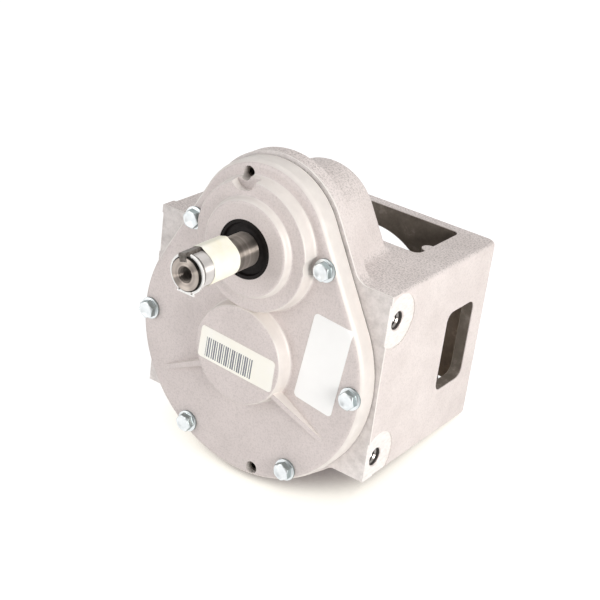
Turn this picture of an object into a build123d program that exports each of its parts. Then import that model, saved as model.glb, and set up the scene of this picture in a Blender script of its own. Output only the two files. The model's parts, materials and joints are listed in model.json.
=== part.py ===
from build123d import *
import math
import os

# Frame: millimetres, +Z up, shafts along Y, the keyed input shaft points to -Y.
# The origin is the centre of the rear register hole, on the rear mounting face.

# Gears, 16 teeth per inch of pitch diameter
gear_module = 25.4 / 16
pinion_teeth = 17
gear_teeth = 71
pressure_angle = 20.0
backlash = 0.32
gear_width = 20.0
pinion_width = 22.0
center_distance = gear_module * (pinion_teeth + gear_teeth) / 2

# Cast box behind the gear case, where the coupling sits
box_side_margin = 0.25
box_height = 119.5
box_depth = 120.5
box_rise = 2.5
side_wall = 7.5
top_wall = 7.5
rear_wall = 9.1
box_corner = 7.0
box_edge = 2.5
chamber_corner = 5.0

# Outline of the cover and the joint: two circles and their tangents
case_top_radius = 45.9
case_top_shift = 2.1
flange_lip = 2.0
flange_depth = 10.0
flange_taper = 7.0
flank_fillet_top = 11.0
flank_fillet_low = 6.0

# Gear case behind the flange
cavity_clearance = 6.5
cavity_top_radius = 32.0
cavity_depth = 34.0
cavity_floor = 8.0
case_wall = 7.0
case_back_top_radius = 37.2
case_draft = 2.5
case_depth = 55.0
case_edge = 5.0
case_foot_fillet = 5.0

# Cover
gasket_thickness = 0.8
cover_thickness = 13.1
cover_wall = 6.9
cover_rim_fillet = 4.0
tier_low_height = 9.0
tier_low_radius = 38.2
tier_top_height = 14.0
tier_top_radius = 28.2
tier_top_edge = 2.4
plate_boss_height = 9.5
plate_boss_radius = 30.4
plate_boss_rise = 1.4
boss_draft = 1.2
boss_edge = 1.2
boss_foot = 2.0
rib_width = 3.2
rib_reach = 68.0
rib_angles = (210, 330)
rib_drop = 2.0
overlap = 1.0

# Cover screws with hexagon and washer in one piece
screw_radius = 3.0
screw_length = 25.0
screw_hex = 10.0
screw_edge = 0.8
screw_head = 5.6
screw_turns = (8.0, 22.0, 35.0, 13.0, 3.0, 27.0)
washer_radius = 6.8
washer_thickness = 1.5
screw_land = 9.45
screw_rim = 6.4
screw_circle_rise = 1.0
screw_low_angle = 59.5
screw_clearance = 0.3
gasket_spare = 0.3
thread_clearance = 0.05
hole_spare = 2.0
tool_clearance = 2.2

# Hollow spring dowels
dowel_radius = 3.9
dowel_bore = 2.5
dowel_length = 15.0
dowel_slit = 1.2
dowel_sink = 3.5
dowel_top_rim = 7.5
dowel_top_angle = 108.1
dowel_low_rim = 6.0
dowel_low_angle = 280.0
dowel_clearance = 0.02
dowel_chamfer = 0.4
dowel_pocket_depth = 5.3
dowel_pocket_shift = (2.6, 1.0)

# Side mounting holes and their spot faces
side_hole_radius = 5.4
side_hole_depth = 22.0
side_hole_spacing = 88.9
side_hole_setback = 10.6
side_sink_radius = 6.4
spot_radius = 16.5
spot_depth = 0.7

# Windows of the box
side_window_length = 31.3
side_window_height = 53.0
side_window_front = 50.5
side_window_corner = 6.0
top_window_width = 120.0
top_window_front = 57.9
top_window_corner = 5.0
lug_radius = 4.5
lug_setback = 12.5

# Rear mounting face
register_radius = 47.625
rear_hole_radius = 5.25
rear_spacing_x = 127.0
rear_spacing_z = 82.55

# Bearings: bore radius, outer radius, width, ball radius, ball count
bearing_front = (10.0, 23.5, 14.0, 3.97, 8)
bearing_input_rear = (8.5, 20.0, 12.0, 3.37, 8)
bearing_output_rear = (15.0, 31.0, 16.0, 4.76, 9)
ball_clearance = 0.3
seat_clearance = 0.02
bearing_chamfer = 0.6
race_share = 0.62
cage_share = 0.28
cage_rim = 1.1
boss_wall = 5.0
boss_end = 0.5
rear_boss_floor = 4.0
race_relief = 4.0
journal_relief = 3.0
journal_relief_depth = 2.0

# Seals: shaft radius comes from the shaft, outer radius, width
input_seal_radius = 17.5
output_seal_radius = 23.5
seal_width = 7.0
seal_wall = 2.0
seal_dish = 1.6
seal_lip_gap = 0.08
seal_inset = 0.2
seal_shoulder = 1.5
seal_flange = 2.6
seal_neck = 2.2
lip_rise = 0.7
nose_rise = 1.6
nose_end = 6.4
spring_wire = 0.7
spring_seat = 0.9
spring_from = 4.0
spring_to = 5.6

# Input shaft
input_radius = 10.0
input_reach = 64.3
input_rear_radius = 8.5
pinion_collar = 11.2
shaft_chamfer = 0.8
center_hole_radius = 4.0
center_hole_depth = 20.0
center_hole_sink = 0.8
rear_journal_short = 0.4

# Key of the input shaft
input_key_size = 5.0
input_key_length = 33.0
input_key_angle = 106.0
input_key_proud = 1.8
key_clearance = 0.02
key_edge = 0.3
key_sunk_share = 0.55

# Retaining clip at the shaft's end; its opening straddles the key
clip_land = 1.5
clip_thickness = 1.2
clip_groove_width = 4.0
clip_groove_depth = 1.1
clip_rim = 1.4
clip_foot_drop = 11.6
clip_foot_half = 5.8
clip_hole = 0.8
clip_opening = 8.4
clip_clearance = 0.05
clip_hole_inset = 1.6
clip_foot_slope = 1.5

# Masking tape wound over shaft and key
tape_setback = 12.2
tape_width = 22.5
tape_thickness = 0.45
tape_clearance = 0.05

# Output shaft
output_radius = 15.0
output_front_radius = 10.0
output_collar_radius = 18.0
output_end_radius = 12.5
output_end_inset = 14.0
output_seal_run = 2.0
gear_hub_radius = 24.0
gear_rim = 7.0
gear_web = 10.0
gear_setback = 10.0
gear_key_size = 8.0
gear_key_height = 7.0
gear_key_length = 18.0
output_key_size = 8.0
output_key_height = 7.0
output_key_length = 36.0
output_key_setback = 2.0
gear_clip_thickness = 1.5
gear_clip_depth = 1.0
gear_clip_rim = 2.2
gear_clip_opening = 7.0

# Depths along Y that follow from the sizes above
joint_y = -box_depth
cover_back = joint_y - gasket_thickness
cover_face = cover_back - cover_thickness
tier_low_face = cover_face - tier_low_height
tier_top_face = cover_face - tier_top_height
plate_face = cover_face - plate_boss_height
cavity_back = joint_y + cavity_depth
chamber_front = cavity_back + cavity_floor
seal_front = tier_top_face + seal_inset
seal_back = seal_front + seal_width
front_bearing_y = seal_back + seal_shoulder
front_bearing_back = front_bearing_y + bearing_front[2]
cover_boss_back = front_bearing_back + boss_end
rear_bearing_y = cavity_back
output_rear_back = rear_bearing_y + bearing_output_rear[2]
output_seal_front = output_rear_back + seal_shoulder
output_boss_back = output_seal_front + seal_width + boss_end
input_rear_back = rear_bearing_y + bearing_input_rear[2]
shaft_end_y = cover_face - input_reach
gear_back = cavity_back - gear_setback
gear_front = gear_back - gear_width
pinion_front = (gear_front + gear_back - pinion_width) / 2
pinion_back = pinion_front + pinion_width
gear_pitch_radius = gear_module * gear_teeth / 2
gear_tip_radius = gear_pitch_radius + gear_module
input_z = center_distance
case_top_z = input_z + case_top_shift

# Widths that follow: the gear needs its space, the screws their land around it
cavity_radius = gear_tip_radius + cavity_clearance
screw_circle = cavity_radius + screw_land
case_radius = screw_circle + screw_rim
box_width = 2 * (case_radius + flange_lip + box_side_margin)
box_top = box_rise + box_height / 2
box_bottom = box_rise - box_height / 2
flank_lean = (case_radius - case_top_radius) / case_top_z
screw_top_offset = (screw_circle - input_z * flank_lean) / math.sqrt(1 - flank_lean ** 2)

screw_places = [
    (-screw_top_offset, input_z),
    (screw_top_offset, input_z),
    (-screw_circle, screw_circle_rise),
    (screw_circle, screw_circle_rise),
]
for side in (-1, 1):
    screw_places.append((
        side * screw_circle * math.cos(math.radians(screw_low_angle)),
        screw_circle_rise - screw_circle * math.sin(math.radians(screw_low_angle)),
    ))
dowel_places = [
    (
        (case_top_radius - dowel_top_rim) * math.cos(math.radians(dowel_top_angle)),
        case_top_z + (case_top_radius - dowel_top_rim) * math.sin(math.radians(dowel_top_angle)),
    ),
    (
        (case_radius - dowel_low_rim) * math.cos(math.radians(dowel_low_angle)),
        (case_radius - dowel_low_rim) * math.sin(math.radians(dowel_low_angle)),
    ),
]


def prism(sketch, y_front, y_back, taper=0.0):
    """Solid from a sketch in x and z, carried from one depth back to another."""
    plane = Plane((0, y_front, 0), x_dir=(1, 0, 0), z_dir=(0, -1, 0))
    return extrude(plane * sketch, amount=y_back - y_front, dir=(0, 1, 0), taper=taper)


def rod(radius, y_front, y_back, x=0.0, z=0.0):
    """Round solid along Y between two depths."""
    length = y_back - y_front
    return Pos(x, (y_front + y_back) / 2, z) * Rot(90, 0, 0) * Cylinder(radius, length)


def turned(points, z=0.0):
    """Solid of revolution about a line along Y; points are radius and depth."""
    outline = make_face(Polyline(*[(radius, y) for radius, y in points], close=True))
    return Pos(0, 0, z) * revolve(outline, Axis.Y)


def rounded_turn(points, rounded, z=0.0):
    """Solid of revolution whose outline corners in rounded get that radius."""
    outline = make_face(Polyline(*points, close=True))
    for index, radius in rounded.items():
        spot = Vector(*points[index])
        corner = outline.vertices().sort_by_distance(spot)[0]
        outline = fillet(corner, radius)
    return Pos(0, 0, z) * revolve(outline, Axis.Y)


def round_boss(radius, face_y, foot_y, root_y, edge, z):
    """Drafted round boss with a rounded edge and a fillet where it leaves the casting."""
    foot = radius + boss_draft
    return rounded_turn(
        [
            (0.0, root_y),
            (foot + boss_foot + overlap, root_y),
            (foot + boss_foot + overlap, foot_y),
            (foot, foot_y),
            (radius, face_y),
            (0.0, face_y),
        ],
        {4: edge, 3: boss_foot}, z,
    )


def hull_of_circles(low_radius, top_radius, top_z):
    """Outline of two circles one above the other, joined by tangents."""
    low = Circle(low_radius)
    top = Pos(0, top_z) * Circle(top_radius)
    return make_hull(low.edges() + top.edges())


def egg(grow=0.0):
    """The cover's outline, larger all round by grow."""
    return hull_of_circles(case_radius + grow, case_top_radius + grow, case_top_z)


def cavity_outline():
    """Inner outline of the gear space."""
    return hull_of_circles(cavity_radius, cavity_top_radius, input_z)


def case_back_outline():
    """Outline of the gear case behind the flange, at the joint."""
    return hull_of_circles(cavity_radius + case_wall, case_back_top_radius, input_z)


def flange_outline():
    """Joint face: the cover's outline plus a lip, blended into the box's rectangle."""
    outline = egg(flange_lip) + Pos(0, box_rise) * Rectangle(box_width, box_height)
    for height, radius in ((box_top, flank_fillet_top), (box_bottom, flank_fillet_low)):
        corners = [
            corner for corner in outline.vertices()
            if abs(corner.Y - height) < 0.01 and abs(corner.X) < box_width / 2 - 1
        ]
        outline = fillet(corners, radius)
    return outline


def gear_outline(teeth, phase):
    """Involute spur gear outline; phase turns the middle of the first tooth."""
    pitch = gear_module * teeth / 2
    base = pitch * math.cos(math.radians(pressure_angle))
    tip = pitch + gear_module
    root = pitch - 1.25 * gear_module
    start = max(base, root + 0.05)
    turn = math.radians(pressure_angle)
    half = math.pi / (2 * teeth) - backlash / (4 * pitch) + math.tan(turn) - turn
    flank = []
    for share in (0.0, 0.5, 1.0):
        radius = start + (tip - start) * share
        angle = math.acos(min(1.0, base / radius))
        flank.append((radius, half - math.tan(angle) + angle))
    lines = []
    for number in range(teeth):
        middle = phase + 2 * math.pi * number / teeth
        following = middle + 2 * math.pi / teeth

        def place(radius, angle):
            return (radius * math.cos(angle), radius * math.sin(angle))

        left = [place(radius, middle - angle) for radius, angle in flank]
        right = [place(radius, middle + angle) for radius, angle in reversed(flank)]
        foot_left = place(root, middle - flank[0][1])
        foot_right = place(root, middle + flank[0][1])
        foot_next = place(root, following - flank[0][1])
        lines += [
            Line(foot_left, left[0]),
            ThreePointArc(*left),
            Line(left[2], right[0]),
            ThreePointArc(*right),
            Line(right[2], foot_right),
            Line(foot_right, foot_next),
        ]
    return make_face(lines)


def key_bar(width, height, length):
    """Key with rounded ends, standing on the middle of its underside."""
    return extrude(SlotOverall(length, width), height)


def bearing(sizes, y_front, z):
    """Ball bearing as outer ring, inner ring, balls and cage."""
    bore, outer, width, ball, count = sizes
    middle = y_front + width / 2
    pitch = (bore + outer) / 2
    shoulder = race_share * ball
    groove = Pos(0, middle, z) * Rot(90, 0, 0) * Torus(pitch, ball + ball_clearance)
    inner_radius = bore + seat_clearance
    outer_radius = outer - seat_clearance
    rim = bearing_chamfer
    outer_ring = turned([
        (pitch + shoulder, y_front),
        (outer_radius - rim, y_front),
        (outer_radius, y_front + rim),
        (outer_radius, y_front + width - rim),
        (outer_radius - rim, y_front + width),
        (pitch + shoulder, y_front + width),
    ], z) - groove
    inner_ring = turned([
        (pitch - shoulder, y_front),
        (pitch - shoulder, y_front + width),
        (inner_radius + rim, y_front + width),
        (inner_radius, y_front + width - rim),
        (inner_radius, y_front + rim),
        (inner_radius + rim, y_front),
    ], z) - groove
    cage_half = ball + cage_rim
    cage = turned([
        (pitch - cage_share * ball, middle - cage_half),
        (pitch + cage_share * ball, middle - cage_half),
        (pitch + cage_share * ball, middle + cage_half),
        (pitch - cage_share * ball, middle + cage_half),
    ], z)
    balls = []
    for number in range(count):
        angle = 2 * math.pi * number / count
        spot = Pos(pitch * math.cos(angle), middle, z + pitch * math.sin(angle))
        balls.append(spot * Sphere(ball))
        turn = Rot(0, 90 - math.degrees(angle), 0)
        cage -= spot * turn * Cylinder(ball + ball_clearance, ball * 2)
    return {
        "outer_ring": outer_ring,
        "inner_ring": inner_ring,
        "balls": Compound(children=balls),
        "cage": cage,
    }


def seal(shaft_radius, outer_radius, y_open, y_closed, z):
    """Lip seal and garter spring; y_closed is the dished side."""
    into = 1 if y_open > y_closed else -1
    lip = shaft_radius + seal_lip_gap
    outer = outer_radius - seat_clearance
    wall = outer - seal_wall
    neck = lip + seal_neck

    def at(radius, depth):
        return (radius, y_closed + into * depth)

    nose = neck + nose_rise
    seat = neck + spring_seat
    body = turned([
        at(outer, 0.0),
        at(outer, seal_width),
        at(wall, seal_width),
        at(wall, seal_flange),
        at(nose, seal_flange),
        at(nose, spring_from),
        at(seat, spring_from),
        at(seat, spring_to),
        at(nose, spring_to),
        at(nose, nose_end),
        at(neck, nose_end),
        at(lip, (spring_from + spring_to) / 2),
        at(lip + lip_rise, seal_flange),
        at(lip + lip_rise, seal_dish),
        at(lip, lip_rise),
        at(neck, seal_dish),
        at(wall - lip_rise, seal_dish),
        at(wall, 0.0),
    ], z)
    ring_radius = seat + clip_clearance + spring_wire
    ring_y = y_closed + into * (spring_from + spring_to) / 2
    spring = Pos(0, ring_y, z) * Rot(90, 0, 0) * Torus(ring_radius, spring_wire)
    return body, spring


def make_housing():
    box = prism(
        Pos(0, box_rise) * Rectangle(box_width, box_height), joint_y, 0.0
    )
    rear_edges = box.edges().filter_by(Axis.Z).group_by(Axis.Y)[-1]
    box = fillet(rear_edges, box_corner)
    level_faces = box.faces().sort_by(Axis.Z)
    level_edges = level_faces[0].edges() + level_faces[-1].edges()
    level_edges = [edge for edge in level_edges if edge.center().Y > joint_y + 1]
    box = fillet(level_edges, box_edge)
    case = prism(case_back_outline(), joint_y, joint_y + case_depth, taper=case_draft)
    case = fillet(case.faces().sort_by(Axis.Y)[-1].edges(), case_edge)
    body = box + case
    foot = [
        edge for edge in body.edges()
        if abs(edge.center().Z - box_top) < 0.3
        and abs(edge.center().X) < box_width / 2 - 2 * box_edge
        and joint_y + 1 < edge.center().Y < joint_y + case_depth + 1
    ]
    body = fillet(foot, case_foot_fillet)
    outline = flange_outline()
    body += prism(outline, joint_y, joint_y + flange_depth)
    slope_front = joint_y + flange_depth
    body += prism(outline, slope_front, slope_front + flange_taper, taper=45)

    body -= prism(cavity_outline(), joint_y, cavity_back)
    chamber = prism(
        Pos(0, box_rise) * RectangleRounded(
            box_width - 2 * side_wall, box_height - 2 * top_wall, chamber_corner
        ),
        chamber_front, -rear_wall,
    )
    hub_front = chamber_front - overlap
    input_boss_back = input_rear_back + rear_boss_floor
    hub = rod(bearing_output_rear[1] + boss_wall, hub_front, output_boss_back)
    hub += rod(bearing_input_rear[1] + boss_wall, hub_front, input_boss_back, z=input_z)
    body -= chamber - hub

    output_outer = bearing_output_rear[1]
    body -= rod(output_outer, cavity_back, output_rear_back)
    body -= rod(output_radius + race_relief, output_rear_back, output_seal_front)
    body -= rod(output_seal_radius, output_seal_front, output_boss_back)
    input_outer = bearing_input_rear[1]
    body -= rod(input_outer, cavity_back, input_rear_back, z=input_z)
    relief_back = input_rear_back + journal_relief_depth
    body -= rod(input_rear_radius + journal_relief, input_rear_back, relief_back, z=input_z)

    body -= rod(register_radius, -rear_wall, 0.0)
    for x in (-rear_spacing_x / 2, rear_spacing_x / 2):
        for z in (-rear_spacing_z / 2, rear_spacing_z / 2):
            body -= rod(rear_hole_radius, -rear_wall, 0.0, x, z)

    window_middle = -(side_window_front - side_window_length / 2)
    side_window = extrude(
        Plane.YZ * Pos(window_middle, box_rise)
        * RectangleRounded(side_window_length, side_window_height, side_window_corner),
        box_width, both=True,
    )
    body -= side_window
    top_length = top_window_front - rear_wall
    top_window = extrude(
        Plane.XY.offset(box_top - top_wall - overlap) * Pos(0, -(top_window_front + rear_wall) / 2)
        * RectangleRounded(top_window_width, top_length, top_window_corner),
        2 * top_wall,
    )
    body -= top_window - case
    lug_y = -top_window_front + lug_setback
    lug = Pos(top_window_width / 2, lug_y, box_top - top_wall / 2) * Cylinder(lug_radius, top_wall)
    body += lug

    hole_depth = screw_length - cover_thickness - gasket_thickness + hole_spare
    dowel_back = cover_face + dowel_sink + dowel_length
    for x, z in screw_places:
        body -= rod(screw_radius + thread_clearance, joint_y, joint_y + hole_depth, x, z)
    for x, z in dowel_places:
        body -= rod(dowel_radius + dowel_clearance, joint_y, dowel_back + hole_spare, x, z)
    for side in (-1, 1):
        for z in (-side_hole_spacing / 2, side_hole_spacing / 2):
            place = Pos(side * box_width / 2, joint_y + side_hole_setback, z) * Rot(0, 90, 0)
            body -= place * Cylinder(spot_radius, 2 * spot_depth)
            body -= place * Cylinder(side_hole_radius, 2 * side_hole_depth)
            depth = side_sink_radius - side_hole_radius
            sink_x = side * (box_width / 2 - spot_depth - depth / 2)
            sink = Pos(sink_x, joint_y + side_hole_setback, z) * Rot(0, 90 * side, 0)
            body -= sink * Cone(side_hole_radius, side_sink_radius, depth)
    return body


def make_cover():
    plate = prism(egg(), cover_face, cover_back)
    plate = fillet(plate.faces().sort_by(Axis.Y)[0].edges(), cover_rim_fillet)

    root_y = cover_back - overlap
    low_tier = round_boss(tier_low_radius, tier_low_face, cover_face, root_y, boss_edge, input_z)
    top_tier = round_boss(
        tier_top_radius, tier_top_face, tier_low_face, tier_low_face + overlap,
        tier_top_edge, input_z,
    )
    plate_boss = round_boss(
        plate_boss_radius, plate_face, cover_face, root_y, boss_edge, plate_boss_rise
    )
    pocket_radius = washer_radius + tool_clearance
    for x, z in screw_places[:2]:
        low_tier -= rod(pocket_radius, tier_low_face, cover_face, x, z)
    pocket_x = dowel_places[0][0] + dowel_pocket_shift[0]
    pocket_z = dowel_places[0][1] + dowel_pocket_shift[1]
    pocket_floor = tier_low_face + dowel_pocket_depth
    low_tier -= rod(pocket_radius, tier_low_face, pocket_floor, pocket_x, pocket_z)
    body = plate + low_tier + top_tier + plate_boss

    rib_start = plate_boss_radius - boss_draft
    rib_profile = make_face(Polyline(
        (rib_start, cover_face + overlap),
        (rib_reach, cover_face + overlap),
        (rib_reach, cover_face),
        (rib_start, plate_face + rib_drop),
        close=True,
    ))
    for angle in rib_angles:
        rib = extrude(rib_profile, rib_width / 2, both=True)
        body += Rot(0, -angle, 0) * rib

    inner = prism(cavity_outline(), cover_face + cover_wall, cover_back)
    boss_radius = bearing_front[1] + boss_wall
    for z in (0.0, input_z):
        inner -= rod(boss_radius, cover_face, cover_boss_back, z=z)
    body -= inner
    for z in (0.0, input_z):
        body -= rod(bearing_front[1], front_bearing_y, cover_back, z=z)
    body -= rod(input_radius + race_relief, seal_back, front_bearing_y, z=input_z)
    body -= rod(input_seal_radius, tier_top_face, seal_back, z=input_z)

    for x, z in screw_places:
        body -= rod(screw_radius + screw_clearance, cover_face, cover_back, x, z)
    for x, z in dowel_places:
        body -= rod(dowel_radius + dowel_clearance, tier_low_face, cover_back, x, z)
    return body


def make_gasket():
    body = prism(egg(-gasket_spare), cover_back, joint_y)
    body -= prism(cavity_outline(), cover_back, joint_y)
    for x, z in screw_places:
        body -= rod(screw_radius + screw_clearance, cover_back, joint_y, x, z)
    for x, z in dowel_places:
        body -= rod(dowel_radius + gasket_spare, cover_back, joint_y, x, z)
    return body


def make_screws():
    washer = rod(washer_radius, cover_face - washer_thickness, cover_face)
    head_face = cover_face - screw_head
    hexagon = prism(
        RegularPolygon(screw_hex / 2, 6, major_radius=False),
        head_face, cover_face - washer_thickness,
    )
    hexagon &= turned([
        (0.0, head_face),
        (screw_hex / 2 - screw_edge / 2, head_face),
        (screw_hex / 2 + screw_edge, head_face + screw_edge),
        (screw_hex / 2 + screw_edge, cover_face),
        (0.0, cover_face),
    ])
    shank = rod(screw_radius, cover_face, cover_face + screw_length)
    shank = chamfer(shank.edges().group_by(Axis.Y)[-1], screw_edge)
    single = washer + hexagon + shank
    return [
        Pos(x, 0, z) * Rot(0, turn, 0) * single
        for (x, z), turn in zip(screw_places, screw_turns)
    ]


def make_dowels():
    y_front = cover_face + dowel_sink
    pin = rod(dowel_radius, y_front, y_front + dowel_length)
    pin = chamfer(pin.edges(), dowel_chamfer)
    pin -= rod(dowel_bore, y_front, y_front + dowel_length)
    middle = y_front + dowel_length / 2
    slit = Pos(0, middle, dowel_radius) * Box(dowel_slit, dowel_length, 2 * dowel_radius)
    pin -= slit
    return [Pos(x, 0, z) * pin for x, z in dowel_places]


def input_key_place(y_middle):
    """Where the input key's underside lies on the shaft."""
    floor = input_radius + input_key_proud - input_key_size
    turned_up = Rot(0, 90 - input_key_angle, 0)
    return Pos(0, 0, input_z) * turned_up * Pos(0, y_middle, floor)


def make_input_shaft():
    body = rod(input_radius, shaft_end_y, front_bearing_back, z=input_z)
    body = chamfer(body.edges().group_by(Axis.Y)[0], shaft_chamfer)
    body += rod(pinion_collar, front_bearing_back, pinion_front, z=input_z)
    teeth = prism(gear_outline(pinion_teeth, -math.pi / 2), pinion_front, pinion_back)
    body += Pos(0, 0, input_z) * teeth
    body += rod(pinion_collar, pinion_back, rear_bearing_y, z=input_z)
    journal_end = input_rear_back - rear_journal_short
    journal = rod(input_rear_radius, rear_bearing_y, journal_end, z=input_z)
    body += chamfer(journal.edges().group_by(Axis.Y)[-1], shaft_chamfer)

    groove_front = shaft_end_y + clip_land
    groove_back = groove_front + clip_groove_width
    groove = rod(input_radius + overlap, groove_front, groove_back, z=input_z)
    groove -= rod(input_radius - clip_groove_depth, groove_front, groove_back, z=input_z)
    body -= groove
    middle = shaft_end_y + input_key_length / 2
    keyway = extrude(
        Rectangle(input_key_size, input_key_length).face(),
        input_key_size,
    )
    body -= input_key_place(middle) * keyway
    hole_end = shaft_end_y + center_hole_depth
    body -= rod(center_hole_radius, shaft_end_y, hole_end, z=input_z)
    sink_radius = center_hole_radius + center_hole_sink
    body -= turned([
        (0.0, shaft_end_y),
        (sink_radius, shaft_end_y),
        (center_hole_radius, shaft_end_y + center_hole_sink),
        (0.0, shaft_end_y + center_hole_sink),
    ], input_z)
    return body


def make_input_key():
    middle = shaft_end_y + input_key_length / 2
    width = input_key_size - 2 * key_clearance
    length = input_key_length - 2 * key_clearance
    bar = extrude(Rectangle(width, length).face(), input_key_size)
    bar = chamfer(bar.edges().filter_by(Axis.Y), key_edge)
    return input_key_place(middle) * bar


def make_shaft_clip():
    """Clip whose opening straddles the key and whose foot has two plier holes."""
    inner = input_radius - clip_groove_depth + clip_clearance
    outline = Circle(input_radius + clip_rim)
    foot = Polyline(
        (-clip_foot_half + clip_foot_slope, -inner + overlap),
        (-clip_foot_half, -clip_foot_drop),
        (clip_foot_half, -clip_foot_drop),
        (clip_foot_half - clip_foot_slope, -inner + overlap),
        close=True,
    )
    outline += make_face(foot)
    outline -= Circle(inner)
    for side in (-1, 1):
        spot = Pos(side * (clip_foot_half - clip_hole_inset), clip_hole_inset - clip_foot_drop)
        outline -= spot * Circle(clip_hole)
    opening = Rot(0, 0, input_key_angle - 90) * Pos(0, input_radius)
    outline -= opening * Rectangle(clip_opening, input_radius)
    y_front = shaft_end_y + clip_land
    return Pos(0, 0, input_z) * prism(outline, y_front, y_front + clip_thickness)


def make_key_tape():
    """Band of tape round the shaft and over the proud key."""
    y_front = shaft_end_y + tape_setback
    rise = input_radius + input_key_proud

    def band(grow):
        key_box = Rot(0, 0, input_key_angle - 90) * Pos(0, rise / 2 + grow / 2) * Rectangle(
            input_key_size + 2 * grow, rise + grow
        )
        return make_hull(Circle(input_radius + grow).edges() + key_box.edges())

    outline = band(tape_clearance + tape_thickness) - band(tape_clearance)
    return Pos(0, 0, input_z) * prism(outline, y_front, y_front + tape_width)


def make_output_shaft():
    front_end = front_bearing_y + rear_journal_short
    seal_end = output_boss_back + output_seal_run
    end_y = -output_end_inset
    rim = shaft_chamfer
    body = turned([
        (0.0, front_end),
        (output_front_radius - rim, front_end),
        (output_front_radius, front_end + rim),
        (output_front_radius, front_bearing_back),
        (output_radius, front_bearing_back),
        (output_radius, gear_back),
        (output_collar_radius, gear_back),
        (output_collar_radius, rear_bearing_y),
        (output_radius, rear_bearing_y),
        (output_radius, seal_end - rim),
        (output_radius - rim, seal_end),
        (output_end_radius, seal_end),
        (output_end_radius, end_y - rim),
        (output_end_radius - rim, end_y),
        (0.0, end_y),
    ])
    groove_back = gear_front - seat_clearance
    groove_front = groove_back - gear_clip_thickness - clip_clearance
    groove = rod(output_radius + overlap, groove_front, groove_back)
    groove -= rod(output_radius - gear_clip_depth, groove_front, groove_back)
    body -= groove
    body -= gear_key_place() * key_bar(gear_key_size, gear_key_height, gear_key_length)
    body -= output_key_place() * key_bar(output_key_size, output_key_height, output_key_length)
    return body


def gear_key_place():
    floor = output_radius - gear_key_height * key_sunk_share
    return Pos(0, (gear_front + gear_back) / 2, floor) * Rot(0, 0, 90)


def output_key_place():
    floor = output_end_radius - output_key_height * key_sunk_share
    end_y = -output_end_inset - output_key_setback
    return Pos(0, end_y - output_key_length / 2, floor) * Rot(0, 0, 90)


def make_key(place, width, height, length):
    slim = 2 * key_clearance
    return place * key_bar(width - slim, height, length - slim)


def make_output_gear():
    phase = math.pi / 2 + math.pi / gear_teeth
    body = prism(gear_outline(gear_teeth, phase), gear_front, gear_back)
    rim_radius = gear_pitch_radius - 1.25 * gear_module - gear_rim
    recess = (gear_width - gear_web) / 2
    for y_front, y_back in ((gear_front, gear_front + recess), (gear_back - recess, gear_back)):
        ring = rod(rim_radius, y_front, y_back) - rod(gear_hub_radius, y_front, y_back)
        body -= ring
    body -= rod(output_radius + seat_clearance, gear_front, gear_back)
    middle = (gear_front + gear_back) / 2
    slot_top = output_radius + gear_key_height * (1 - key_sunk_share) + clip_clearance
    slot = Pos(0, middle, slot_top / 2) * Box(gear_key_size, gear_width, slot_top)
    body -= slot
    return body


def make_gear_circlip():
    inner = output_radius - gear_clip_depth + clip_clearance
    outline = Circle(output_radius + gear_clip_rim) - Circle(inner)
    outline -= Pos(0, -output_radius) * Rectangle(gear_clip_opening, output_radius)
    y_back = gear_front - seat_clearance
    return prism(outline, y_back - gear_clip_thickness, y_back)


input_seal, input_seal_spring = seal(
    input_radius, input_seal_radius, seal_back, seal_front, input_z
)
output_seal, output_seal_spring = seal(
    output_radius, output_seal_radius, output_seal_front, output_seal_front + seal_width, 0.0
)

nodes = {
    "housing": make_housing(),
    "cover": make_cover(),
    "gasket": make_gasket(),
    "cover_screws": Compound(children=make_screws()),
    "dowel_pins": Compound(children=make_dowels()),
    "input_shaft": make_input_shaft(),
    "input_key": make_input_key(),
    "shaft_clip": make_shaft_clip(),
    "key_tape": make_key_tape(),
    "input_seal": input_seal,
    "input_seal_spring": input_seal_spring,
    "output_shaft": make_output_shaft(),
    "output_gear": make_output_gear(),
    "gear_key": make_key(gear_key_place(), gear_key_size, gear_key_height, gear_key_length),
    "gear_circlip": make_gear_circlip(),
    "output_key": make_key(
        output_key_place(), output_key_size, output_key_height, output_key_length
    ),
    "output_seal": output_seal,
    "output_seal_spring": output_seal_spring,
}
bearings = {
    "input_front_bearing": (bearing_front, front_bearing_y, input_z),
    "input_rear_bearing": (bearing_input_rear, rear_bearing_y, input_z),
    "output_front_bearing": (bearing_front, front_bearing_y, 0.0),
    "output_rear_bearing": (bearing_output_rear, rear_bearing_y, 0.0),
}
for name, (sizes, y_front, z) in bearings.items():
    for piece, shape in bearing(sizes, y_front, z).items():
        nodes[name + "_" + piece] = shape

os.makedirs("parts", exist_ok=True)
for name, shape in nodes.items():
    export_step(shape, "parts/" + name + ".step")
    print(name, len(shape.solids()), round(shape.volume))
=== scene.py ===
import json
import math

import bpy
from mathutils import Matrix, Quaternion, Vector


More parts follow.
